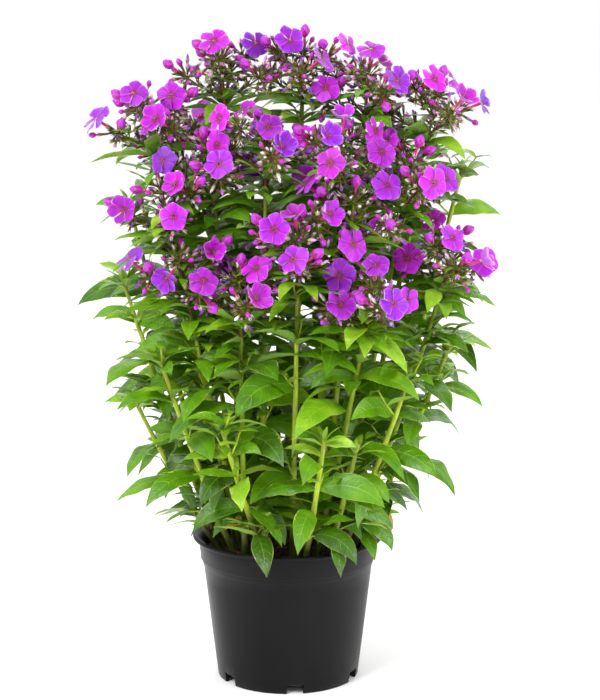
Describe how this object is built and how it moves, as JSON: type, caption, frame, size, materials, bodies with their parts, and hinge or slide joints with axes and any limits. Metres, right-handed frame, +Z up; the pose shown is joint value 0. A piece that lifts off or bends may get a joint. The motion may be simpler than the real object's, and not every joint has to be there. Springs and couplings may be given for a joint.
{
  "type": "phlox plant in a nursery pot",
  "caption": "Garden phlox in full flower in its round black nursery pot: leafy stems with lance-shaped leaves in pairs and domed heads of magenta-violet flowers.",
  "frame": {"origin": "on the ground plane that the pot's foot stands on, under the middle of the plant's spread", "axes": "+Z straight up through the plant, +X to the right seen from the front, and -Y towards the front, the side that most flowers and leaves turn to"},
  "size_m": [0.3888, 0.327, 0.5981],
  "materials": {
    "pot_plastic": "satin",
    "potting_soil": "rough",
    "stem_and_leaf": "satin",
    "flower": "matte"
  },
  "bodies": {
    "root": {"nursery_pot": "pot_plastic", "potting_soil": "potting_soil", "flowering_stem_01": "stem_and_leaf", "flower_head_01": "flower", "flowering_stem_02": "stem_and_leaf", "flower_head_02": "flower", "flowering_stem_03": "stem_and_leaf", "flower_head_03": "flower", "flowering_stem_04": "stem_and_leaf", "flower_head_04": "flower", "flowering_stem_05": "stem_and_leaf", "flower_head_05": "flower", "flowering_stem_06": "stem_and_leaf", "flower_head_06": "flower", "flowering_stem_07": "stem_and_leaf", "flower_head_07": "flower", "flowering_stem_08": "stem_and_leaf", "flower_head_08": "flower", "flowering_stem_09": "stem_and_leaf", "flower_head_09": "flower", "flowering_stem_10": "stem_and_leaf", "flower_head_10": "flower", "flowering_stem_11": "stem_and_leaf", "flower_head_11": "flower", "flowering_stem_12": "stem_and_leaf", "flower_head_12": "flower", "flowering_stem_13": "stem_and_leaf", "flower_head_13": "flower", "flowering_stem_14": "stem_and_leaf", "flower_head_14": "flower", "flowering_stem_15": "stem_and_leaf", "flower_head_15": "flower", "flowering_stem_16": "stem_and_leaf", "flower_head_16": "flower", "flowering_stem_17": "stem_and_leaf", "flower_head_17": "flower", "flowering_stem_18": "stem_and_leaf", "flower_head_18": "flower", "flowering_stem_19": "stem_and_leaf", "flower_head_19": "flower", "leafy_shoot_20": "stem_and_leaf", "leafy_shoot_21": "stem_and_leaf", "leafy_shoot_22": "stem_and_leaf", "leafy_shoot_23": "stem_and_leaf", "leafy_shoot_24": "stem_and_leaf", "leafy_shoot_25": "stem_and_leaf", "leafy_shoot_26": "stem_and_leaf", "leafy_shoot_27": "stem_and_leaf", "leafy_shoot_28": "stem_and_leaf", "leafy_shoot_29": "stem_and_leaf", "leafy_shoot_30": "stem_and_leaf", "leafy_shoot_31": "stem_and_leaf", "leafy_shoot_32": "stem_and_leaf", "leafy_shoot_33": "stem_and_leaf", "leafy_shoot_34": "stem_and_leaf", "leafy_shoot_35": "stem_and_leaf", "leafy_shoot_36": "stem_and_leaf"}
  },
  "joints": []
}
